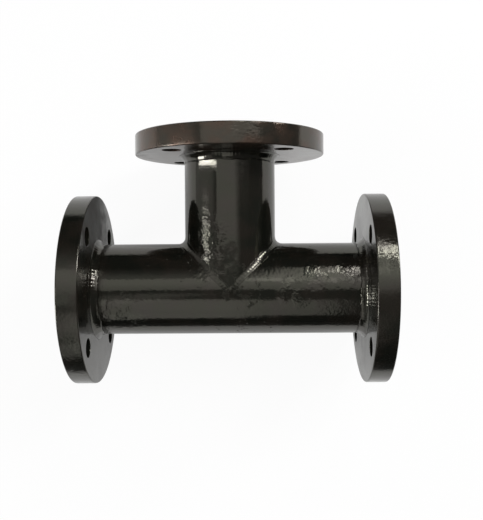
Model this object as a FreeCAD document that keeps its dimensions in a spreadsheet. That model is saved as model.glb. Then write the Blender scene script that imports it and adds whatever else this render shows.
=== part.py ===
import FreeCAD, Part
import os
import Sketcher

# Flanged tee: a straight run tube with a branch tube of the same size at its
# middle, a slip-on flange welded to each of the three ends, and a saddle weld
# round the joint. Lengths are in millimetres.
#
# Frame: +X along the run, +Y along the branch, +Z up. The origin is where the
# run's axis and the branch's axis cross. The tee lies on the rims of its three
# flanges, as a loose one comes to rest.

# Driving dimensions: name, value, meaning.
DRIVING_SIZES = [
    ("centre_to_face", 152.4, "from the crossing of the axes to each gasket face"),
    ("pipe_dia", 88.9, "outside diameter of the run tube and of the branch tube"),
    ("pipe_wall", 5.5, "wall of both tubes"),
    ("pipe_setback", 7.0, "each tube's end, back from the gasket face"),
    ("slip_gap", 0.9, "radial gap between a tube and its flange"),
    ("flange_dia", 185.0, "outside diameter of a flange"),
    ("rim_thickness", 20.0, "flange plate without its raised face"),
    ("rim_chamfer", 1.0, "chamfer on both edges of the rim"),
    ("bolt_edge_distance", 19.5, "centre of a bolt hole, in from the rim"),
    ("bolt_hole_dia", 18.0, "bolt hole"),
    ("bolt_hole_count", 4, "bolt holes in each flange"),
    ("raised_face_height", 1.6, "gasket face above the flange plate"),
    ("raised_face_margin", 2.0, "gasket face's edge, in from the bolt holes"),
    ("back_weld_leg", 5.5, "leg of the fillet weld behind a flange, up the flange"),
    ("back_weld_reach", 8.0, "longer leg of that weld, along the tube"),
    ("face_weld_leg", 4.5, "leg of the seal weld inside a flange"),
    ("saddle_half_width", 3.6, "half the width of the weld round the joint"),
    ("saddle_cap", 0.9, "rise of that weld above the tubes it joins"),
    ("cut_margin", 6.0, "how far a cutting shape runs past what it cuts"),
]

# Sizes that follow from the driving ones, as expressions of the sheet.
PIPE_RADIUS = "(sizes.pipe_dia / 2)"
PIPE_BORE_RADIUS = "(sizes.pipe_dia / 2 - sizes.pipe_wall)"
PIPE_END = "(sizes.centre_to_face - sizes.pipe_setback)"
FLANGE_RADIUS = "(sizes.flange_dia / 2)"
FLANGE_BORE_RADIUS = "(sizes.pipe_dia / 2 + sizes.slip_gap)"
RIM_FACE = "(sizes.centre_to_face - sizes.raised_face_height)"
RIM_BACK = "(sizes.centre_to_face - sizes.raised_face_height - sizes.rim_thickness)"
BOLT_CIRCLE_RADIUS = "(sizes.flange_dia / 2 - sizes.bolt_edge_distance)"
BOLT_HOLE_RADIUS = "(sizes.bolt_hole_dia / 2)"
RAISED_FACE_RADIUS = f"({BOLT_CIRCLE_RADIUS} - {BOLT_HOLE_RADIUS} - sizes.raised_face_margin)"
# The bolt holes straddle the centre lines: the first is half a step from one.
HOLE_OFFSET = f"({BOLT_CIRCLE_RADIUS} * sin(180 deg / sizes.bolt_hole_count))"
HOLE_HEIGHT = f"({BOLT_CIRCLE_RADIUS} * cos(180 deg / sizes.bolt_hole_count))"
NOTCH_REACH = "(sizes.pipe_dia / 2 + sizes.cut_margin)"
# Two tubes of one size meet in a flat ellipse, longer than it is high by the
# root of two. The saddle weld follows that ellipse.
SADDLE_LONG_RADIUS = "(sizes.pipe_dia / 2 * sqrt(2) + sizes.saddle_half_width + sizes.saddle_cap)"
SADDLE_SHORT_RADIUS = "(sizes.pipe_dia / 2 + sizes.saddle_cap)"
SADDLE_REACH = f"({SADDLE_LONG_RADIUS} + sizes.saddle_half_width + sizes.cut_margin)"

CENTRE = FreeCAD.Vector(0, 0, 0)
ALONG_RUN = FreeCAD.Vector(1, 0, 0)
ALONG_BRANCH = FreeCAD.Vector(0, 1, 0)
UP = FreeCAD.Vector(0, 0, 1)

# Each end's direction from the crossing of the axes.
ENDS = {"right": ALONG_RUN, "branch": ALONG_BRANCH, "left": -ALONG_RUN}

# The numbers that a sketch gives to its axes and to the points of an edge.
VERTICAL_AXIS, HORIZONTAL_AXIS = range(-2, 0)
EDGE_START, EDGE_END, EDGE_CENTRE = range(1, 4)

document = FreeCAD.newDocument("flanged_tee")
sheet = document.addObject("Spreadsheet::Sheet", "sizes")


def fill_sheet():
    """Write the driving dimensions into the document's sheet."""
    for row, (name, size, meaning) in enumerate(DRIVING_SIZES, start=1):
        sheet.set(f"A{row}", name)
        sheet.set(f"B{row}", str(size))
        sheet.set(f"C{row}", meaning)
        sheet.setAlias(f"B{row}", name)
    document.recompute()


def number_of(item, expression):
    """Work out an expression of the sheet as a plain number."""
    result = item.evalExpression(expression)
    return float(getattr(result, "Value", result))


def bind(item, **expressions):
    """Tie an object's properties to expressions of the sheet."""
    for name, expression in expressions.items():
        item.setExpression(name, expression)


def facing(direction):
    """Placement that turns an object's +X to a level direction, +Z staying up."""
    turn = FreeCAD.Rotation(direction, UP.cross(direction), UP, "XZY")
    return FreeCAD.Placement(CENTRE, turn)


def start_body(name, direction=ALONG_RUN):
    """Start a sub-part whose label names its file."""
    body = document.addObject("PartDesign::Body", name)
    body.Label = name
    body.Placement = facing(direction)
    return body


def origin_feature(body, role):
    """Find one of the body's own origin planes or axes."""
    return next(item for item in body.Origin.OriginFeatures if item.Role == role)


def start_sketch(body, name, role):
    """Start a sketch on one of the body's origin planes."""
    sketch = body.newObject("Sketcher::SketchObject", name)
    sketch.AttachmentSupport = [(origin_feature(body, role), "")]
    sketch.MapMode = "FlatFace"
    sketch.Visibility = False
    document.recompute()
    return sketch


def hold_point(sketch, edge, point, across, along):
    """Hold a point of an edge at its two distances from the sketch's origin."""
    rules = (("DistanceX", VERTICAL_AXIS, across), ("DistanceY", HORIZONTAL_AXIS, along))
    for kind, axis, expression in rules:
        if expression == "0":
            sketch.addConstraint(Sketcher.Constraint("PointOnObject", edge, point, axis))
        else:
            distance = number_of(sketch, expression)
            number = sketch.addConstraint(Sketcher.Constraint(kind, edge, point, distance))
            sketch.setExpression(f"Constraints[{number}]", expression)


def draw_circle(sketch, radius, across="0", along="0"):
    """Draw a circle about a held centre."""
    centre = FreeCAD.Vector(number_of(sketch, across), number_of(sketch, along), 0)
    span = number_of(sketch, radius)
    edge = sketch.addGeometry(Part.Circle(centre, UP, span), False)
    number = sketch.addConstraint(Sketcher.Constraint("Radius", edge, span))
    sketch.setExpression(f"Constraints[{number}]", radius)
    hold_point(sketch, edge, EDGE_CENTRE, across, along)


def draw_outline(sketch, corners):
    """Draw a closed outline through corners given as pairs of expressions."""
    points = [
        FreeCAD.Vector(number_of(sketch, across), number_of(sketch, along), 0)
        for across, along in corners
    ]
    for here, there in zip(points, points[1:] + points[:1]):
        sketch.addGeometry(Part.LineSegment(here, there), False)
    for edge, (across, along) in enumerate(corners):
        joined = (edge + 1) % len(corners)
        rule = Sketcher.Constraint("Coincident", edge, EDGE_END, joined, EDGE_START)
        sketch.addConstraint(rule)
        hold_point(sketch, edge, EDGE_START, across, along)


def revolve(body, sketch, name):
    """Turn a profile once round the sketch's horizontal axis."""
    turned = body.newObject("PartDesign::Revolution", name)
    turned.Profile = sketch
    turned.ReferenceAxis = (sketch, ["H_Axis"])
    turned.Angle = 360.0
    document.recompute()


def pocket_through(body, sketch, name):
    """Cut a sketch right through the body, both ways."""
    before = body.Shape.Volume
    pocket = body.newObject("PartDesign::Pocket", name)
    pocket.Profile = sketch
    pocket.Type = "ThroughAll"
    pocket.SideType = "Symmetric"
    document.recompute()
    if body.Shape.Volume >= before:
        raise RuntimeError(f"{name} cuts nothing")
    return pocket


def make_flange(end):
    """Slip-on flange: a bored plate with a raised gasket face and bolt holes."""
    body = start_body(f"{end}_flange", ENDS[end])
    profile = start_sketch(body, f"{end}_flange_profile", "XY_Plane")
    rim_inside = f"({FLANGE_RADIUS} - sizes.rim_chamfer)"
    corners = [
        (RIM_BACK, FLANGE_BORE_RADIUS),
        ("sizes.centre_to_face", FLANGE_BORE_RADIUS),
        ("sizes.centre_to_face", RAISED_FACE_RADIUS),
        (RIM_FACE, RAISED_FACE_RADIUS),
        (RIM_FACE, rim_inside),
        (f"({RIM_FACE} - sizes.rim_chamfer)", FLANGE_RADIUS),
        (f"({RIM_BACK} + sizes.rim_chamfer)", FLANGE_RADIUS),
        (RIM_BACK, rim_inside),
    ]
    draw_outline(profile, corners)
    revolve(body, profile, f"{end}_flange_plate")

    hole_place = start_sketch(body, f"{end}_bolt_hole_place", "YZ_Plane")
    draw_circle(hole_place, BOLT_HOLE_RADIUS, HOLE_OFFSET, HOLE_HEIGHT)
    hole = pocket_through(body, hole_place, f"{end}_bolt_hole")

    holes = body.newObject("PartDesign::PolarPattern", f"{end}_bolt_holes")
    holes.Originals = [hole]
    holes.Axis = (origin_feature(body, "X_Axis"), [""])
    holes.Angle = 360.0
    bind(holes, Occurrences="sizes.bolt_hole_count")
    body.Tip = holes
    document.recompute()
    return body


def start_tube(name, direction):
    """Start a tube's body with its ring-shaped section."""
    body = start_body(name, direction)
    section = start_sketch(body, f"{name}_section", "YZ_Plane")
    draw_circle(section, PIPE_RADIUS)
    draw_circle(section, PIPE_BORE_RADIUS)
    tube = body.newObject("PartDesign::Pad", f"{name}_tube")
    tube.Profile = section
    return body, tube


def make_run_pipe():
    """Run tube, with a V notch on the branch side down to its axis."""
    body, tube = start_tube("run_pipe", ALONG_RUN)
    tube.SideType = "Symmetric"
    bind(tube, Length=f"2 * {PIPE_END}")
    document.recompute()

    notch = start_sketch(body, "run_notch_outline", "XY_Plane")
    corners = [
        ("0", "0"),
        (NOTCH_REACH, NOTCH_REACH),
        (f"-{NOTCH_REACH}", NOTCH_REACH),
    ]
    draw_outline(notch, corners)
    pocket_through(body, notch, "run_notch")
    return body


def make_branch_pipe():
    """Branch tube, cut to a V point that seats in the run's notch."""
    body, tube = start_tube("branch_pipe", ALONG_BRANCH)
    bind(tube, Length=PIPE_END)
    document.recompute()

    waste = start_sketch(body, "branch_waste_outline", "XY_Plane")
    corners = [
        ("0", "0"),
        (NOTCH_REACH, NOTCH_REACH),
        ("-sizes.cut_margin", NOTCH_REACH),
        ("-sizes.cut_margin", f"-{NOTCH_REACH}"),
        (NOTCH_REACH, f"-{NOTCH_REACH}"),
    ]
    draw_outline(waste, corners)
    pocket_through(body, waste, "branch_point")
    return body


def make_ring_weld(name, direction, corners):
    """Weld bead of a straight-faced section, run once round a tube."""
    body = start_body(name, direction)
    profile = start_sketch(body, f"{name}_profile", "XY_Plane")
    draw_outline(profile, corners)
    revolve(body, profile, f"{name}_bead")
    return body


def make_back_weld(end):
    """Fillet weld between a tube and the back of its flange, longer on the tube."""
    corners = [
        (f"({RIM_BACK} - sizes.back_weld_reach)", PIPE_RADIUS),
        (RIM_BACK, PIPE_RADIUS),
        (RIM_BACK, f"({PIPE_RADIUS} + sizes.back_weld_leg)"),
    ]
    return make_ring_weld(f"{end}_back_weld", ENDS[end], corners)


def make_face_weld(end):
    """Seal weld in the corner between a tube's end and its flange's bore."""
    corners = [
        (PIPE_END, f"({FLANGE_BORE_RADIUS} - sizes.face_weld_leg)"),
        (f"({PIPE_END} + sizes.face_weld_leg)", FLANGE_BORE_RADIUS),
        (PIPE_END, FLANGE_BORE_RADIUS),
    ]
    return make_ring_weld(f"{end}_face_weld", ENDS[end], corners)


def gather(name, beads):
    """Group like beads as the separate solids of one sub-part."""
    group = document.addObject("Part::Compound", name)
    group.Label = name
    group.Links = beads
    document.recompute()
    return group


def combine(kind, name, first, second):
    """Join, cut or intersect two solids."""
    result = document.addObject(kind, name)
    result.Label = name
    result.Base = first
    result.Tool = second
    result.Refine = True
    document.recompute()
    return result


def make_core(name, axis, height):
    """Solid cylinder of the tubes' outside diameter, from the origin outwards."""
    core = document.addObject("Part::Cylinder", name)
    core.Placement.Rotation = FreeCAD.Rotation(UP, axis)
    bind(core, Radius=PIPE_RADIUS, Height=height)
    return core


def make_saddle_weld():
    """Weld round the joint: a band along the right mitre, and its mirror image."""
    outline = document.addObject("Part::Ellipse", "saddle_outline")
    bind(outline, MajorRadius=SADDLE_LONG_RADIUS, MinorRadius=SADDLE_SHORT_RADIUS)
    outline.Placement.Rotation = FreeCAD.Rotation(UP, ALONG_BRANCH)
    plate = document.addObject("Part::Extrusion", "saddle_plate")
    plate.Base = outline
    plate.DirMode = "Normal"
    plate.Solid = True
    plate.Symmetric = True
    bind(plate, LengthFwd="2 * sizes.saddle_half_width")
    plate.Placement = facing(ALONG_RUN + ALONG_BRANCH)

    right_side = document.addObject("Part::Box", "saddle_right_side")
    bind(right_side, Length=SADDLE_REACH, Width=f"2 * {SADDLE_REACH}")
    bind(right_side, Height=f"2 * {SADDLE_REACH}")
    right_side.setExpression("Placement.Base.y", f"-{SADDLE_REACH}")
    right_side.setExpression("Placement.Base.z", f"-{SADDLE_REACH}")
    band = combine("Part::Common", "saddle_band", plate, right_side)

    run_core = make_core("run_core", ALONG_RUN, SADDLE_REACH)
    branch_core = make_core("branch_core", ALONG_BRANCH, SADDLE_REACH)
    on_run = combine("Part::Cut", "saddle_on_run", band, run_core)
    right_half = combine("Part::Cut", "right_saddle_half", on_run, branch_core)
    left_half = document.addObject("Part::Mirroring", "left_saddle_half")
    left_half.Source = right_half
    left_half.Normal = ALONG_RUN
    return combine("Part::Fuse", "saddle_weld", right_half, left_half)


def write_parts(sub_parts):
    """Check every object, then write each sub-part to the file it names."""
    document.recompute()
    for item in document.Objects:
        if "Invalid" in item.State or "Error" in item.State:
            raise RuntimeError(f"{item.Label} failed: {item.State}")
    os.makedirs("parts", exist_ok=True)
    for sub_part in sub_parts:
        shape = sub_part.Shape
        if shape.isNull() or not shape.isValid():
            raise RuntimeError(f"{sub_part.Label} has no valid shape")
        shape.exportStep(f"parts/{sub_part.Label}.step")
        print(f"{sub_part.Label}: {len(shape.Solids)} solids, {shape.Volume:.0f} cubic mm")


fill_sheet()
tubes = [make_run_pipe(), make_branch_pipe()]
flanges = [make_flange(end) for end in ENDS]
welds = [
    make_saddle_weld(),
    gather("back_welds", [make_back_weld(end) for end in ENDS]),
    gather("face_welds", [make_face_weld(end) for end in ENDS]),
]
write_parts(tubes + flanges + welds)
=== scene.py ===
import math
import random

import bmesh
import bpy
from mathutils import Matrix, Vector
from mathutils.geometry import delaunay_2d_cdt


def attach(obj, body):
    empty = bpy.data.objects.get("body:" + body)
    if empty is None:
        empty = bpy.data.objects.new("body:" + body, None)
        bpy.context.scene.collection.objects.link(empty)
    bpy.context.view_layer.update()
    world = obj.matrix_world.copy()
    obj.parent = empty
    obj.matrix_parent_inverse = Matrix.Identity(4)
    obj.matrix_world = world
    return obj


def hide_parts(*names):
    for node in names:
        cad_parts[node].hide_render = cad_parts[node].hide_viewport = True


# Flanged tee, welded from steel tube and plate and painted gloss black.
# Lengths are in metres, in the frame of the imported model: +X along the run,
# +Y along the branch, +Z up. The tubes are the model's own. The flanges get
# rounded edges and turned faces, and the welds get their ripples.

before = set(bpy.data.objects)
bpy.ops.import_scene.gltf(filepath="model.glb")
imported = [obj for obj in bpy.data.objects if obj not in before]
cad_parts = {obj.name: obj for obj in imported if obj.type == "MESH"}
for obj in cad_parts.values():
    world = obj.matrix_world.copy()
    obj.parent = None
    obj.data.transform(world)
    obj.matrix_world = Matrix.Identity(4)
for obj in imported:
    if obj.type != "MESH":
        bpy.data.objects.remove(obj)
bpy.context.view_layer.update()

MM = 0.001

# Main sizes of the fitting.
TUBE_RADIUS = 44.45 * MM
TUBE_WALL = 5.5 * MM
CENTRE_TO_FACE = 152.4 * MM
FLANGE_RADIUS = 92.5 * MM
PLATE_THICKNESS = 20.0 * MM
RAISED_FACE_RADIUS = 62.0 * MM
RAISED_FACE_HEIGHT = 1.6 * MM
BOLT_CIRCLE_RADIUS = 73.0 * MM
BOLT_HOLE_RADIUS = 9.0 * MM
SLIP_GAP = 0.9 * MM
TUBE_SET_BACK = 7.0 * MM
BACK_WELD_LEG = 5.5 * MM
BACK_WELD_REACH = 8.0 * MM
FACE_WELD_LEG = 4.5 * MM
SADDLE_LEG_AT_TIP = 4.2 * MM
SADDLE_LEG_AT_CROTCH = 7.2 * MM
SADDLE_LIFT = 0.16 * MM

# Places that follow from them, as distances from the crossing of the axes along
# an end's axis, or from that axis.
TUBE_BORE_RADIUS = TUBE_RADIUS - TUBE_WALL
TUBE_END = CENTRE_TO_FACE - TUBE_SET_BACK
FLANGE_BORE_RADIUS = TUBE_RADIUS + SLIP_GAP
PLATE_FRONT = CENTRE_TO_FACE - RAISED_FACE_HEIGHT
PLATE_BACK = PLATE_FRONT - PLATE_THICKNESS

# Small shapes that only the looks have.
RIM_ROUNDING = 1.3 * MM
EDGE_BREAK = 0.6 * MM
GROOVE_PITCH = 0.8 * MM
GROOVE_DEPTH = 0.06 * MM
RIPPLE_PITCH = 3.2 * MM
RIPPLE_HEIGHT = 0.06 * MM
BEAD_ROOT_DEPTH = 0.6 * MM
SADDLE_ROOT_DEPTH = 1.0 * MM

# How finely the round shapes are cut into faces.
RIM_STEPS = 192
HOLE_STEPS = 48
STEPS_PER_RIPPLE = 7
RING_SKIN_STEPS = 10
SADDLE_SKIN_STEPS = 12
SADDLE_ARM_STEPS = 330
SADDLE_TIP_STEPS = 8

# Drops of weld spatter: how many are tried, how far round the tube from its top
# they fall, in radians, how near they come to the weld, how much further they
# fall on average, how near they come to a flange, and how large they are.
SPATTER_TRIES = 70
SPATTER_TURN = 1.2
SPATTER_TO_WELD = 7 * MM
SPATTER_SPREAD = 16 * MM
SPATTER_TO_PLATE = 9 * MM
SPATTER_RADII = (0.35 * MM, 0.85 * MM)

X_AXIS, Y_AXIS, Z_AXIS = Vector((1, 0, 0)), Vector((0, 1, 0)), Vector((0, 0, 1))

# Each flanged end: its outward direction.
ENDS = {"right": X_AXIS, "branch": Y_AXIS, "left": -X_AXIS}


# Geometry


def add_piece(name, mesh, slot, *stands_for, turn=0.0):
    """Put a mesh into the scene as a piece of the fitting, turned about Z."""
    piece = bpy.data.objects.new(name, mesh)
    piece.rotation_euler.z = turn
    bpy.context.scene.collection.objects.link(piece)
    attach(piece, "root")
    if stands_for:
        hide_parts(*stands_for)
    return piece


def closed_mesh(name, points, faces):
    """Mesh with doubled points joined, its faces turned outwards and shaded smooth."""
    mesh = bpy.data.meshes.new(name)
    mesh.from_pydata(points, [], faces)
    shape = bmesh.new()
    shape.from_mesh(mesh)
    bmesh.ops.remove_doubles(shape, verts=shape.verts, dist=0.002 * MM)
    bmesh.ops.dissolve_degenerate(shape, edges=shape.edges, dist=0.001 * MM)
    bmesh.ops.recalc_face_normals(shape, faces=shape.faces)
    for face in shape.faces:
        face.smooth = True
    shape.to_mesh(mesh)
    shape.free()
    return mesh


def bead_rings(stations, across, lap, lift=0.0):
    """Points and faces of a weld bead that closes on itself. A station is the
    two feet of the bead, the point that its skin is pulled towards between
    them, its root in the joint, its outward direction and how far along the
    seam it is. The skin rises by the lift between the feet, and low ripples lie
    across it as crescents."""
    points, faces = [], []
    ripples = round(lap / RIPPLE_PITCH)
    for first_foot, second_foot, pull, root, outward, travel in stations:
        turn = travel / lap * math.tau
        wander = 0.5 * math.sin(5 * turn + 1) + 0.3 * math.sin(11 * turn)
        wander += 0.2 * math.sin(23 * turn)
        for step in range(across + 1):
            share = step / across
            hump = 4 * share * (1 - share)
            phase = ripples * turn + 1.5 * wander + 1.5 * (1 - hump)
            ripple = math.sin(phase) + 0.35 * math.sin(2 * phase + 0.8) + 0.8 * wander
            skin = first_foot.lerp(pull, share).lerp(pull.lerp(second_foot, share), share)
            points.append(skin + outward * (lift + RIPPLE_HEIGHT * ripple) * hump**2)
        points.append(root)
    ring = across + 2
    count = len(stations)
    for station in range(count):
        here, there = station * ring, (station + 1) % count * ring
        for step in range(ring):
            after = (step + 1) % ring
            faces.append((here + step, here + after, there + after, there + step))
    return points, faces


def ring_stations(axis, corner, feet, fullness):
    """Stations of a bead that runs once round an end, in the corner between
    its tube and its plate. The corner and both feet are pairs: distance along
    the end's axis, and distance from that axis. At a fullness of 1 the bead is
    flat from foot to foot, and at 0 it is hollowed down into the corner."""
    level = Z_AXIS.cross(axis)
    seat = Vector(corner)
    first, second = (Vector(foot) for foot in feet)
    middle = (first + second) / 2 - seat
    lap = math.tau * seat.y
    count = round(lap / RIPPLE_PITCH) * STEPS_PER_RIPPLE
    stations = []
    for step in range(count):
        turn = math.tau * step / count
        radial = level * math.cos(turn) + Z_AXIS * math.sin(turn)
        spread = 1 + 0.05 * math.sin(7 * turn + 2) + 0.03 * math.sin(17 * turn)
        spread += 0.02 * math.sin(31 * turn)

        def in_space(place):
            return axis * place.x + radial * place.y

        seam, rise = in_space(seat), in_space(middle)
        outward = rise.normalized()
        stations.append((
            in_space(seat.lerp(first, spread)),
            in_space(seat.lerp(second, spread)),
            seam + rise * fullness,
            seam - outward * BEAD_ROOT_DEPTH,
            outward,
            turn * seat.y,
        ))
    return stations, lap


def make_ring_beads(name, node, corner, feet, fullness):
    """One piece of three beads, one round each end."""
    points, faces = [], []
    for axis in ENDS.values():
        stations, lap = ring_stations(axis, corner, feet, fullness)
        more_points, more_faces = bead_rings(stations, RING_SKIN_STEPS, lap)
        start = len(points)
        points += more_points
        faces += [tuple(start + index for index in face) for face in more_faces]
    return add_piece(name, closed_mesh(name, points, faces), "weld_paint", node)


def make_back_beads():
    """Fillet welds between the tubes and the backs of the flanges, hollow in section."""
    on_tube = (PLATE_BACK - BACK_WELD_REACH, TUBE_RADIUS)
    on_plate = (PLATE_BACK, TUBE_RADIUS + BACK_WELD_LEG)
    corner = (PLATE_BACK, TUBE_RADIUS)
    return make_ring_beads("back_beads", "back_welds", corner, (on_tube, on_plate), fullness=0.3)


def make_face_beads():
    """Seal welds in the corner between each tube's end and its flange's bore."""
    on_tube = (TUBE_END, FLANGE_BORE_RADIUS - FACE_WELD_LEG)
    in_bore = (TUBE_END + FACE_WELD_LEG, FLANGE_BORE_RADIUS)
    corner = (TUBE_END, FLANGE_BORE_RADIUS)
    return make_ring_beads("face_beads", "face_welds", corner, (on_tube, in_bore), fullness=0.8)


def on_run(along, height):
    """Point of the run tube's upper skin over a place in plan."""
    return Vector((along, height, math.sqrt(TUBE_RADIUS**2 - height**2)))


def saddle_arm():
    """Stations down the right side of the joint, from the upper V tip to the
    lower one. The bead is widest in the crotch."""
    arm = []
    for step in range(SADDLE_ARM_STEPS + 1):
        angle = math.pi * step / SADDLE_ARM_STEPS
        across, up = math.sin(angle), math.cos(angle)
        leg = SADDLE_LEG_AT_TIP + (SADDLE_LEG_AT_CROTCH - SADDLE_LEG_AT_TIP) * across**2
        seam = Vector((across, across, up)) * TUBE_RADIUS
        outward = Vector((across, across, 2 * up)).normalized()
        root = seam - outward * SADDLE_ROOT_DEPTH
        arm.append((seam + X_AXIS * leg, seam + Y_AXIS * leg, seam, root, outward))
    return arm


def saddle_tip():
    """Stations round the upper V tip, from the right arm to the left one: along
    the foot of the right arm, round a quarter turn below the tip, and back up."""
    leg, count = SADDLE_LEG_AT_TIP, SADDLE_TIP_STEPS
    width, corner = leg / math.sqrt(2), leg / 2
    outer = []
    for step in range(1, count + 1):
        share = step / count
        outer.append((leg + (corner - leg) * share, -corner * share))
    for degrees in range(-50, -131, -5):
        angle = math.radians(degrees)
        outer.append((width * math.cos(angle), width * math.sin(angle)))
    outer += [(-along, height) for along, height in reversed(outer[:count])]
    top = Vector((0, 0, TUBE_RADIUS))
    root = top - Z_AXIS * SADDLE_ROOT_DEPTH
    return [(on_run(*place), top + Y_AXIS * leg, top, root, Z_AXIS) for place in outer]


def flipped(station, *signs):
    """The same station mirrored along each axis whose sign is -1."""
    return tuple(Vector(a * b for a, b in zip(point, signs)) for point in station)


def make_saddle_bead():
    """Weld round the joint: down the right side of the branch, round the lower V
    tip, up the left side and round the upper V tip."""
    arm, tip = saddle_arm(), saddle_tip()
    loop = [
        *arm,
        *(flipped(station, 1, 1, -1) for station in tip),
        *(flipped(station, -1, 1, 1) for station in reversed(arm)),
        *(flipped(station, -1, 1, 1) for station in tip),
    ]
    stations, travel = [], 0.0
    middle = (loop[0][0] + loop[0][1]) / 2
    for station in loop:
        here = (station[0] + station[1]) / 2
        travel += (here - middle).length
        middle = here
        stations.append((*station, travel))
    points, faces = bead_rings(stations, SADDLE_SKIN_STEPS, travel, SADDLE_LIFT)
    mesh = closed_mesh("saddle_bead", points, faces)
    return add_piece("saddle_bead", mesh, "weld_paint", "saddle_weld")


def make_spatter():
    """Drops of weld metal that froze on the tubes near the joint, under the paint."""
    chance = random.Random(11)
    drops = bmesh.new()
    for _ in range(SPATTER_TRIES):
        angle = chance.uniform(-SPATTER_TURN, SPATTER_TURN)
        spread = SPATTER_TO_WELD + chance.expovariate(1 / SPATTER_SPREAD)
        reach = TUBE_RADIUS * abs(math.sin(angle)) if angle > 0 else 0
        side = chance.choice((-1, 1, 1))
        normal = Vector((0, math.sin(angle), math.cos(angle)))
        place = normal * TUBE_RADIUS + X_AXIS * side * (reach + spread)
        if abs(place.x) > PLATE_BACK - SPATTER_TO_PLATE:
            continue
        size = chance.uniform(*SPATTER_RADII)
        turn = normal.to_track_quat("Z", "Y").to_matrix().to_4x4()
        squash = Matrix.Diagonal((1.0, chance.uniform(0.8, 1.2), 0.7, 1.0))
        bmesh.ops.create_icosphere(
            drops, subdivisions=2, radius=size, matrix=Matrix.Translation(place) @ turn @ squash
        )
    for face in drops.faces:
        face.smooth = True
    mesh = bpy.data.meshes.new("weld_spatter")
    drops.to_mesh(mesh)
    drops.free()
    return add_piece("weld_spatter", mesh, "weld_paint")


def circle(radius, count=RIM_STEPS, centre=(0, 0)):
    """Points of a circle in the plane of a flange."""
    across, up = centre
    turns = [math.tau * step / count for step in range(count)]
    return [(across + radius * math.cos(turn), up + radius * math.sin(turn)) for turn in turns]


def quarter(start, end, steps=5):
    """Quarter round from one (axial, radial) place to another, which sets out
    radially. From a face it rounds the edge, and from a rim or a bore it leaves
    the edge slightly hollow."""
    axial_span, radial_span = end[0] - start[0], end[1] - start[1]
    places = []
    for step in range(steps + 1):
        turn = math.pi / 2 * step / steps
        axial = start[0] + axial_span * (1 - math.cos(turn))
        places.append((axial, start[1] + radial_span * math.sin(turn)))
    return places


def flange_profile():
    """Two turned outlines of (axial, radial) places: over the rim from the back
    to the front, and in over the grooved gasket face and back through the bore."""
    back, front, gasket = PLATE_BACK, PLATE_FRONT, CENTRE_TO_FACE
    outer, raised, bore = FLANGE_RADIUS, RAISED_FACE_RADIUS, FLANGE_BORE_RADIUS
    soft, edge, half_pitch = RIM_ROUNDING, EDGE_BREAK, GROOVE_PITCH / 2
    rim = quarter((back, outer - soft), (back + soft, outer))
    rim += quarter((front, outer - soft), (front - soft, outer))[::-1]
    face = quarter((front + edge, raised), (front, raised + edge))[::-1]
    face += quarter((gasket - edge, raised), (gasket, raised - edge))
    radius = raised - edge - half_pitch
    low = True
    while radius > bore + edge + half_pitch:
        face.append((gasket - GROOVE_DEPTH * low, radius))
        radius -= half_pitch
        low = not low
    face += quarter((gasket, bore + edge), (gasket - edge, bore))
    face += quarter((back + edge, bore), (back, bore + edge))
    return rim, face


def plate_face(outer, inner, holes):
    """Triangles of a flat ring with round holes in it."""
    loops = [outer, inner, *holes]
    flat, edges = [], []
    for loop in loops:
        start = len(flat)
        flat += [Vector(place) for place in loop]
        edges += [(start + step, start + (step + 1) % len(loop)) for step in range(len(loop))]
    places, _, faces, *_ = delaunay_2d_cdt(flat, edges, [], 0, 1e-9)
    discs = []
    for hole in (inner, *holes):
        centre = sum((Vector(place) for place in hole), Vector((0, 0))) / len(hole)
        discs.append((centre, (Vector(hole[0]) - centre).length))
    kept = []
    for face in faces:
        middle = sum((places[corner] for corner in face), Vector((0, 0))) / len(face)
        if all((middle - centre).length > radius for centre, radius in discs):
            kept.append(face)
    return places, kept


def flange_mesh():
    """Slip-on flange facing +X: rounded rim, four drilled holes with broken
    edges, and a raised gasket face with the fine grooves that the lathe left."""
    points, faces = [], []

    def add_ring(profile, count, centre=(0, 0)):
        start = len(points)
        for axial, radial in profile:
            points.extend((axial, *place) for place in circle(radial, count, centre))
        for row in range(len(profile) - 1):
            for step in range(count):
                after = (step + 1) % count
                here, there = start + row * count, start + (row + 1) * count
                faces.append((here + step, here + after, there + after, there + step))

    for profile in flange_profile():
        add_ring(profile, RIM_STEPS)
    step = BOLT_CIRCLE_RADIUS * math.sqrt(0.5)
    centres = [(a * step, b * step) for a in (1, -1) for b in (1, -1)]
    edge, radius = EDGE_BREAK, BOLT_HOLE_RADIUS
    hole = quarter((PLATE_BACK, radius + edge), (PLATE_BACK + edge, radius), 3)
    hole += quarter((PLATE_FRONT - edge, radius), (PLATE_FRONT, radius + edge), 3)
    for centre in centres:
        add_ring(hole, HOLE_STEPS, centre)
    holes = [circle(radius + edge, HOLE_STEPS, centre) for centre in centres]
    outer = circle(FLANGE_RADIUS - RIM_ROUNDING)
    for axial, inner in ((PLATE_BACK, FLANGE_BORE_RADIUS), (PLATE_FRONT, RAISED_FACE_RADIUS)):
        places, flat = plate_face(outer, circle(inner + edge), holes)
        start = len(points)
        points.extend((axial, *place) for place in places)
        faces.extend(tuple(start + corner for corner in face) for face in flat)
    return closed_mesh("slip_on_flange", points, faces)


def make_flanges():
    """The three flanges: one shape, turned to face each end."""
    mesh = flange_mesh()
    flanges = []
    for end, axis in ENDS.items():
        name = f"{end}_slip_on_flange"
        turn = X_AXIS.angle(axis) if end != "right" else 0.0
        flange = add_piece(name, mesh.copy(), "flange_paint", f"{end}_flange", turn=turn)
        normals = flange.modifiers.new("flat_faces_stay_flat", "WEIGHTED_NORMAL")
        normals.mode = "FACE_AREA"
        normals.weight = 100
        flanges.append(flange)
    return flanges


# Materials


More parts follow.
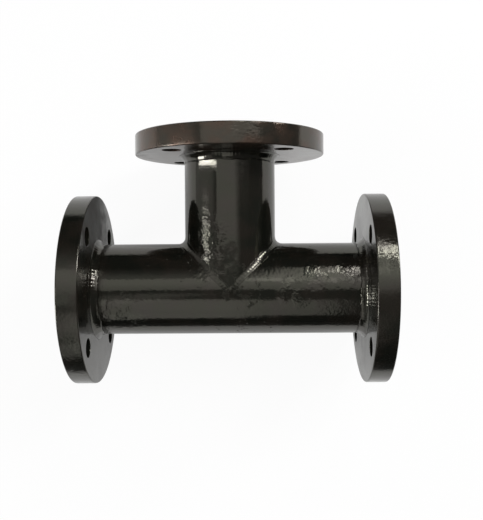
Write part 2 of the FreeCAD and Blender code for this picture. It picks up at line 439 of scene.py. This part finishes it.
def linear(hex_colour):
    """sRGB hex to a linear RGBA colour."""
    channels = [int(hex_colour[i : i + 2], 16) / 255 for i in (1, 3, 5)]
    spread = [c / 12.92 if c <= 0.04045 else ((c + 0.055) / 1.055) ** 2.4 for c in channels]
    return (*spread, 1.0)


def add_node(tree, kind, settings=None, **links):
    """Add a node; settings go to its properties and links or values to its inputs."""
    node = tree.nodes.new(kind)
    for name, value in (settings or {}).items():
        setattr(node, name, value)
    for name, value in links.items():
        key = int(name[1:]) if name[0] == "i" and name[1:].isdigit() else name.replace("_", " ")
        socket = node.inputs[key]
        if isinstance(value, bpy.types.NodeSocket):
            tree.links.new(value, socket)
        else:
            socket.default_value = value
    return node


def start_material(name):
    """An empty material and its node tree."""
    material = bpy.data.materials.new(name)
    material.use_nodes = True
    material.node_tree.nodes.clear()
    return material, material.node_tree


# Casts of the enamel: cool and warm patches of the paint, then of its highlights.
OLIVE = (("#0f100d", "#171410"), ("#fffde8", "#fff9ec"))
BROWN = (("#1c1a16", "#2a211b"), ("#fff4e2", "#ffdfcb"))

# How wide the patterns of the finishes and of the painted shade's outline are.
# The steel's grain is really about 1.5 mm wide and the lathe's feed 0.6 mm, and
# both are drawn about twice as coarse to show.
PATCH_WIDTH = 25 * MM
WAVE_LENGTH = 12.5 * MM
SHADE_EDGE_WIDTH = 100 * MM / 7
GRAIN_WIDTH = 100 * MM / 38
GRAIN_GAP_WIDTH = 100 * MM / 11
FEED_PITCH = 1.2083 * MM
MILL_SCALE_WIDTH = 6.25 * MM

# How high the paint's waves, the grain and the feed marks stand, and how far
# the outline of a place of painted shade wanders.
WAVE_HEIGHT = 0.08 * MM
GRAIN_HEIGHT = 0.8 * MM
FEED_MARK_HEIGHT = 0.008 * MM
SHADE_EDGE_DRIFT = 20 * MM

# Places where the steel's grain shows through the paint: a point, how far the
# grain reaches from it, and how strong it is.
GRAINY_PLACES = [
    ((0.060, -0.002, 0.044), 0.022, 0.7),
    ((0.080, 0.012, 0.043), 0.024, 0.5),
    ((0.108, 0.018, 0.041), 0.024, 0.5),
    ((-0.022, 0.025, 0.038), 0.028, 0.8),
    ((-0.022, 0.055, 0.038), 0.028, 0.6),
    ((-0.100, -0.026, 0.036), 0.036, 0.45),
    ((0.144, 0.045, 0.080), 0.040, 0.35),
    ((-0.140, -0.060, 0.070), 0.050, 0.25),
    ((0.020, 0.140, 0.092), 0.045, 0.2),
    ((0.050, -0.030, -0.032), 0.030, 0.7),
    ((0.020, 0.080, -0.040), 0.030, 0.7),
]

# Places of painted shade: there the paint is made rougher and its shine is cut,
# so that it shows darker. One is on the back of the left flange. The others are
# on the tubes and welds by the right flange and round the V of the joint. Each
# is a point, how far the shade reaches, and how strongly it is dulled there.
SHADE_DULLING_ON_BACKS = [((-0.131, 0.075, 0.03), 0.090, 0.7)]
SHADE_DULLING_ON_TUBES = [
    ((0.136, 0.024, 0.041), 0.022, 1.0),
    ((-0.002, 0.012, 0.044), 0.013, 0.8),
    ((-0.003, 0.026, 0.044), 0.013, 0.8),
    ((-0.003, 0.038, 0.044), 0.009, 0.5),
    ((0.012, -0.004, 0.044), 0.008, 0.6),
    ((0.025, -0.004, 0.044), 0.008, 0.6),
]


def nearness(tree, where, place, reach, most):
    """The most in the middle of a place, fading to 0 at its reach."""
    away = add_node(tree, "ShaderNodeVectorMath", {"operation": "DISTANCE"}, i0=where, i1=place)
    return add_node(
        tree, "ShaderNodeMapRange", {"interpolation_type": "SMOOTHSTEP"},
        Value=away.outputs["Value"], i1=reach, i2=0.3 * reach, i3=0.0, i4=most,
    ).outputs[0]


def most_near(tree, where, places):
    """The nearness to the one of several places that counts most."""
    share = 0.0
    for place, reach, strength in places:
        near = nearness(tree, where, place, reach, strength)
        share = add_node(tree, "ShaderNodeMath", {"operation": "MAXIMUM"}, i0=near, i1=share).outputs[0]
    return share


def shade_by_dulling(tree, where, along=None):
    """How strong the painted shade is, from 0 to 1, in places with an uneven
    outline: there the paint is made rougher and shines less. On a flange, which
    gives how far along its axis a point is, only the back is shaded so and not
    the rim."""
    drift = add_node(
        tree, "ShaderNodeTexNoise", {"normalize": False}, Vector=where, Scale=1 / SHADE_EDGE_WIDTH
    ).outputs["Color"]
    uneven = add_node(
        tree, "ShaderNodeVectorMath", {"operation": "MULTIPLY_ADD"},
        i0=drift, i1=(SHADE_EDGE_DRIFT,) * 3, i2=where,
    ).outputs[0]
    if along is None:
        return most_near(tree, uneven, SHADE_DULLING_ON_TUBES)
    painted_shade = most_near(tree, uneven, SHADE_DULLING_ON_BACKS)
    back = add_node(
        tree, "ShaderNodeMath", {"operation": "LESS_THAN"}, i0=along, i1=PLATE_BACK + 0.3 * MM
    ).outputs[0]
    return add_node(tree, "ShaderNodeMath", {"operation": "MULTIPLY"}, i0=painted_shade, i1=back).outputs[0]


def painted_skin(tree, where, stretch, even_grain):
    """Bumps of the paint: long low waves from brushing, and the steel's grain in
    broken patches where it shows through."""
    flow = add_node(tree, "ShaderNodeTexNoise", Vector=where, Scale=1 / WAVE_LENGTH, Detail=1.0)
    skin = add_node(
        tree, "ShaderNodeBump", Height=flow.outputs["Fac"], Strength=1.0, Distance=WAVE_HEIGHT
    ).outputs[0]
    # In the gaps only a fifth of the grain shows.
    gaps = add_node(tree, "ShaderNodeTexNoise", Vector=where, Scale=1 / GRAIN_GAP_WIDTH, Detail=2.0)
    broken = add_node(
        tree, "ShaderNodeMapRange", Value=gaps.outputs["Fac"], i1=0.4, i2=0.6, i3=0.2, i4=1.0
    ).outputs[0]
    share = most_near(tree, where, GRAINY_PLACES)
    for operation, value in (("MULTIPLY", broken), ("MAXIMUM", even_grain)):
        share = add_node(tree, "ShaderNodeMath", {"operation": operation}, i0=share, i1=value).outputs[0]
    drawn = add_node(
        tree, "ShaderNodeVectorMath", {"operation": "MULTIPLY"}, i0=where, i1=stretch
    ).outputs[0]
    grain = add_node(tree, "ShaderNodeTexNoise", Vector=drawn, Scale=1 / GRAIN_WIDTH, Detail=2.0)
    specks = add_node(
        tree, "ShaderNodeMath", {"operation": "MULTIPLY"}, i0=grain.outputs["Fac"], i1=share
    ).outputs[0]
    return add_node(
        tree, "ShaderNodeBump", Height=specks, Strength=1.0, Distance=GRAIN_HEIGHT, Normal=skin
    ).outputs[0]


def lathe_marks(tree, own, skin):
    """Feed marks that the lathe left under the paint, round the rim and in rings
    on the faces."""
    for form, direction in (("BANDS", "bands_direction"), ("RINGS", "rings_direction")):
        # The wave texture has ten waves in pi at a scale of 1.
        marks = add_node(
            tree, "ShaderNodeTexWave", {"wave_type": form, direction: "X"},
            Vector=own, Scale=math.pi / 10 / FEED_PITCH, Distortion=1.5, Detail=2.0, Detail_Scale=1.5,
        ).outputs["Fac"]
        skin = add_node(
            tree, "ShaderNodeBump", Height=marks, Strength=1.0, Distance=FEED_MARK_HEIGHT, Normal=skin
        ).outputs[0]
    return skin


def bare_bore(tree, where, across, colour, gloss):
    """Colour and roughness of a tube whose enamel stops inside it: beyond that
    is dull brown mill scale. Across names the axis that with Z crosses the tube."""
    parts = add_node(tree, "ShaderNodeSeparateXYZ", Vector=where).outputs
    section = add_node(tree, "ShaderNodeCombineXYZ", i0=parts[across], i1=parts["Z"]).outputs[0]
    radius = add_node(tree, "ShaderNodeVectorMath", {"operation": "LENGTH"}, i0=section)
    inside = add_node(
        tree, "ShaderNodeMapRange", Value=radius.outputs["Value"],
        i1=TUBE_BORE_RADIUS + 0.65 * MM, i2=TUBE_BORE_RADIUS + 0.25 * MM, i3=0.0, i4=1.0,
    ).outputs[0]
    scale = add_node(tree, "ShaderNodeTexNoise", Vector=where, Scale=1 / MILL_SCALE_WIDTH, Detail=5.0)
    rust = add_node(tree, "ShaderNodeValToRGB", Fac=scale.outputs["Fac"])
    for stop, position, shade in zip(rust.color_ramp.elements, (0.35, 0.7), ("#1b1a19", "#4a3226")):
        stop.position = position
        stop.color = linear(shade)
    colour = add_node(
        tree, "ShaderNodeMix", {"data_type": "RGBA"}, i0=inside, i6=colour, i7=rust.outputs[0]
    ).outputs[2]
    gloss = add_node(
        tree, "ShaderNodeMath", {"operation": "MULTIPLY_ADD"}, i0=inside, i1=0.45, i2=gloss
    ).outputs[0]
    return colour, gloss


def enamel(
    name, stretch=(1, 1, 1), even_grain=0.1, rough=(0.09, 0.16), casts=OLIVE, turned=False, bore=None
):
    """Black enamel, brushed over the steel and left to flow. It is nearly black
    and its highlights have a faint olive or brown cast. The paint is glossy and
    dense, so it has a high IOR; where the steel's grain shows through it a
    highlight breaks up into small bright specks, and where the paint has pooled
    it stays clean. The grain is finer along an axis that is stretched by more
    than 1, even_grain is the least of it that shows anywhere, rough is the
    roughness in cool patches and in warm ones, and a tube's bore is given by the
    axis that with Z crosses it."""
    material, tree = start_material(name)
    where = add_node(tree, "ShaderNodeNewGeometry").outputs["Position"]

    # Casts in patches, of the paint and of its highlights.
    patches = add_node(
        tree, "ShaderNodeTexNoise", Vector=where, Scale=1 / PATCH_WIDTH, Detail=4.0, Roughness=0.55
    ).outputs["Fac"]
    tints = []
    for cast in casts:
        ramp = add_node(tree, "ShaderNodeValToRGB", Fac=patches)
        for stop, position, shade in zip(ramp.color_ramp.elements, (0.42, 0.6), cast):
            stop.position = position
            stop.color = linear(shade)
        tints.append(ramp.outputs[0])
    colour, shine = tints
    gloss = add_node(
        tree, "ShaderNodeMapRange", Value=patches, i1=0.38, i2=0.66, i3=rough[0], i4=rough[1]
    ).outputs[0]

    skin = painted_skin(tree, where, stretch, even_grain)
    along = None
    if turned:
        own = add_node(tree, "ShaderNodeTexCoord").outputs["Object"]
        along = add_node(tree, "ShaderNodeSeparateXYZ", Vector=own).outputs["X"]
        skin = lathe_marks(tree, own, skin)

    # Painted shade: where it is dulled it is rougher and shines less, so it shows darker.
    painted_shade = shade_by_dulling(tree, where, along)
    gloss = add_node(
        tree, "ShaderNodeMath", {"operation": "MULTIPLY_ADD"}, i0=painted_shade, i1=0.5, i2=gloss
    ).outputs[0]
    shown = add_node(
        tree, "ShaderNodeMapRange", Value=painted_shade, i1=0.0, i2=1.0, i3=0.5, i4=0.12
    ).outputs[0]
    if bore:
        colour, gloss = bare_bore(tree, where, bore, colour, gloss)

    shader = add_node(
        tree, "ShaderNodeBsdfPrincipled", Base_Color=colour, Roughness=gloss, IOR=1.6,
        Specular_Tint=shine, Specular_IOR_Level=shown, Normal=skin,
    )
    add_node(tree, "ShaderNodeOutputMaterial", Surface=shader.outputs[0])
    return material


# Stage

# The paper lies under the rims of the flanges. It and the cards on it reach this
# far from the middle, and the panels overhead hang this high.
FLOOR_LEVEL = -FLANGE_RADIUS
FLOOR_HALF = 4.0
CARD_HALF = 3.9
OVERHEAD_HEIGHT = 2.0


def lay_sheet(name, material, near, far, half, level):
    """Flat sheet of the stage, from near to far along Y and half its width to
    each side."""
    mesh = bpy.data.meshes.new(name)
    corners = [(-half, near, level), (half, near, level), (half, far, level), (-half, far, level)]
    mesh.from_pydata(corners, [], [(0, 1, 2, 3)])
    mesh.materials.append(material)
    sheet = bpy.data.objects.new(name, mesh)
    bpy.context.scene.collection.objects.link(sheet)
    return sheet


def make_floor():
    """Plain white paper under the flange rims. It shows white to the camera,
    less so in the paint's gloss, and keeps the tee's shadow."""
    material, tree = start_material("white_paper_floor")
    ray = add_node(tree, "ShaderNodeLightPath")
    shown = add_node(
        tree, "ShaderNodeMath", {"operation": "MULTIPLY"}, i0=ray.outputs["Is Camera Ray"], i1=0.94
    ).outputs[0]
    mirrored = add_node(
        tree, "ShaderNodeMath", {"operation": "MULTIPLY"}, i0=ray.outputs["Is Glossy Ray"], i1=0.3
    ).outputs[0]
    share = add_node(tree, "ShaderNodeMath", {"operation": "MAXIMUM"}, i0=shown, i1=mirrored).outputs[0]
    matt = add_node(tree, "ShaderNodeBsdfDiffuse", Color=linear("#f4f4f4")).outputs[0]
    white = add_node(tree, "ShaderNodeEmission", Color=(1, 1, 1, 1), Strength=1.0).outputs[0]
    mix = add_node(tree, "ShaderNodeMixShader", i0=share, i1=matt, i2=white).outputs[0]
    add_node(tree, "ShaderNodeOutputMaterial", Surface=mix)
    lay_sheet("floor", material, -FLOOR_HALF, FLOOR_HALF, FLOOR_HALF, FLOOR_LEVEL)


def make_dark_cards():
    """Dark cards on the paper, grey in front of the tee and black behind it,
    which end the white that the paint's gloss sees. Nothing else sees them."""
    for side, stuff, shade, near, far in (
        ("front", "grey_card", "#484848", -0.42, -CARD_HALF),
        ("back", "black_card", "#1c1c1c", 0.7, CARD_HALF),
    ):
        material, tree = start_material(stuff)
        matt = add_node(tree, "ShaderNodeBsdfDiffuse", Color=linear(shade)).outputs[0]
        add_node(tree, "ShaderNodeOutputMaterial", Surface=matt)
        card = lay_sheet(f"{side}_dark_card", material, near, far, CARD_HALF, FLOOR_LEVEL + MM)
        card.visible_camera = False
        card.visible_diffuse = False
        card.visible_shadow = False


def make_world():
    """Dim studio: a soft glow overhead that fades towards the back, a pale wall
    on the left and a dim one on the right. The camera sees it white."""
    world = bpy.data.worlds.new("studio")
    bpy.context.scene.world = world
    world.use_nodes = True
    tree = world.node_tree
    tree.nodes.clear()
    direction = add_node(tree, "ShaderNodeTexCoord").outputs["Generated"]
    parts = add_node(tree, "ShaderNodeSeparateXYZ", Vector=direction).outputs
    glow = add_node(tree, "ShaderNodeValToRGB", Fac=parts["Y"])
    glow.color_ramp.interpolation = "EASE"
    glow.color_ramp.elements[0].color = (0.12, 0.12, 0.12, 1)
    glow.color_ramp.elements[1].position = 0.86
    glow.color_ramp.elements[1].color = (0, 0, 0, 1)
    for position, level in ((0.3, 0.42), (0.5, 0.46), (0.72, 0.14)):
        glow.color_ramp.elements.new(position).color = (level, level, level, 1)
    high, left, right = (
        add_node(
            tree, "ShaderNodeMapRange", Value=parts[axis], i1=start, i2=end, i3=low, i4=most
        ).outputs[0]
        for axis, start, end, low, most in (
            ("Z", 0.4, 0.7, 0.0, 1.0),
            ("X", -0.5, -0.7, 0.03, 0.5),
            ("X", 0.3, 0.6, 0.0, 0.08),
        )
    )
    ceiling = add_node(
        tree, "ShaderNodeMath", {"operation": "MULTIPLY"}, i0=glow.outputs[0], i1=high
    ).outputs[0]
    walls = add_node(tree, "ShaderNodeMath", {"operation": "ADD"}, i0=left, i1=right).outputs[0]
    room = add_node(tree, "ShaderNodeMath", {"operation": "MAXIMUM"}, i0=ceiling, i1=walls).outputs[0]
    ray = add_node(tree, "ShaderNodeLightPath").outputs["Is Camera Ray"]
    bright = add_node(tree, "ShaderNodeMath", {"operation": "MAXIMUM"}, i0=room, i1=ray).outputs[0]
    sky = add_node(tree, "ShaderNodeBackground", Color=(1, 1, 1, 1), Strength=bright).outputs[0]
    add_node(tree, "ShaderNodeOutputWorld", Surface=sky)


def add_softbox(name, place, aim, size, radiance, beam=180):
    """Rectangular lamp at a place, facing a point. A radiance of 1 would look
    white. A grid in front of it can narrow its beam to an angle in degrees."""
    lamp = bpy.data.lights.new(name, "AREA")
    lamp.spread = math.radians(beam)
    lamp.shape = "RECTANGLE"
    lamp.size, lamp.size_y = size
    lamp.energy = radiance * math.pi * size[0] * size[1]
    box = bpy.data.objects.new(name, lamp)
    box.location = place
    box.rotation_euler = (Vector(aim) - Vector(place)).to_track_quat("-Z", "Y").to_euler()
    box.visible_camera = False
    bpy.context.scene.collection.objects.link(box)


def make_camera():
    """Camera above the tee, where the photograph was taken from."""
    data = bpy.data.cameras.new("camera")
    data.sensor_width = 36.0
    data.lens = 50.73
    data.clip_start = 0.01
    camera = bpy.data.objects.new("camera", data)
    camera.location = (0.02519, 0.04163, 0.72725)
    camera.rotation_euler = [math.radians(angle) for angle in (-1.075, 1.106, -0.442)]
    bpy.context.scene.collection.objects.link(camera)
    bpy.context.scene.camera = camera


def make_lights():
    """Panels overhead, cards and lamps round the tee, and two lamps low down at
    its ends."""
    front, depth, radiance = 0.19, 0.46, 0.7
    panels = [
        ("overhead", -0.27, 0.71, (1.83, 0.58), radiance),
        ("overhead_front", -0.3525, front, (1.665, depth), radiance),
    ]
    # The front panel fades out to the right, in strips.
    for number, share in enumerate((0.84, 0.64, 0.44, 0.26, 0.12)):
        across = 0.53 + 0.1 * number
        panels.append((f"overhead_fade_{number + 1}", across, front, (0.1, depth), radiance * share))
    panels += [
        ("overhead_left", -0.74, -0.3, (0.28, 0.5), radiance),
        ("overhead_right", 1.05, 0.74, (0.9, 0.6), 0.9),
    ]
    for name, x, y, size, strength in panels:
        add_softbox(name, (x, y, OVERHEAD_HEIGHT), (x, y, 0), size, strength)
    add_softbox("front_card", (-0.31, -1.573, 1.298), (-0.31, -0.073, -0.032), (0.62, 2.02), 0.85)
    add_softbox("low_front_card", (-0.71, -2.2, 0.62), (-0.14, -0.05, 0.077), (0.35, 0.83), 0.47)
    add_softbox("front_card_right", (0.16, -1.5, 1.38), (0.16, 0, 0.05), (0.32, 1.6), 0.65)
    add_softbox("side_card", (-0.75, -1.4, 1.4), (-0.15, 0, 0.05), (0.3, 3.2), 0.4)
    add_softbox("window", (-1.73, -0.04, 0.95), (0, -0.04, 0.95), (0.32, 0.65), 9.0)
    # Beside the branch flange, above its rim: it makes the white glint below it.
    small_lamp, branch_side = (-0.097, 0.1324, 0.094), (-0.019, 0.1324, 0.0415)
    add_softbox("small_lamp", small_lamp, branch_side, (0.005, 0.107), 7.2, beam=90)
    add_softbox("fill_panel", (0.26, 1.01, 1.4), (0.08, 0, 0.04), (0.4, 1.1), 1.25)
    add_softbox("lamp", (0.5, 1.48, 1.43), (0.14, 0, 0.05), (0.2, 0.42), 14.0)
    add_softbox("joint_lamp", (1.12, 1.12, 1.58), (0.02, 0.02, 0.04), (0.4, 0.6), 20.0)
    add_softbox("low_left", (-2.0, -0.6, 0.6), (0, 0, 0.05), (0.5, 0.4), 26.0)
    add_softbox("low_right", (1.7, 0.98, 0.89), (0, 0, 0.05), (0.5, 0.4), 30.0)


def paint(piece, material):
    """Give a whole piece one finish."""
    piece.data.materials.clear()
    piece.data.materials.append(material)


def make_tee():
    """All pieces of the tee, painted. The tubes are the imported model's own."""
    weld_enamel = enamel("black_enamel_on_weld_metal")
    plate_enamel = enamel(
        "black_enamel_on_turned_plate", even_grain=0.08, rough=(0.13, 0.22), turned=True
    )
    rusty_plate_enamel = enamel(
        "black_enamel_on_rusty_turned_plate",
        even_grain=0.08, rough=(0.1, 0.17), casts=BROWN, turned=True,
    )
    for beads in (make_back_beads(), make_face_beads(), make_saddle_bead(), make_spatter()):
        paint(beads, weld_enamel)
    for end, flange in zip(ENDS, make_flanges()):
        paint(flange, rusty_plate_enamel if end == "branch" else plate_enamel)
    tube_enamels = {
        "run_pipe": enamel("black_enamel_on_run_tube", bore="Y"),
        "branch_pipe": enamel(
            "black_enamel_on_branch_tube",
            stretch=(0.8, 1.3, 0.8), even_grain=0.06, rough=(0.08, 0.12), bore="X",
        ),
    }
    for node, finish in tube_enamels.items():
        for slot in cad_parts[node].material_slots:
            slot.material = finish


make_camera()
make_tee()
make_floor()
make_dark_cards()
make_world()
make_lights()
bpy.context.scene.view_settings.view_transform = "Standard"
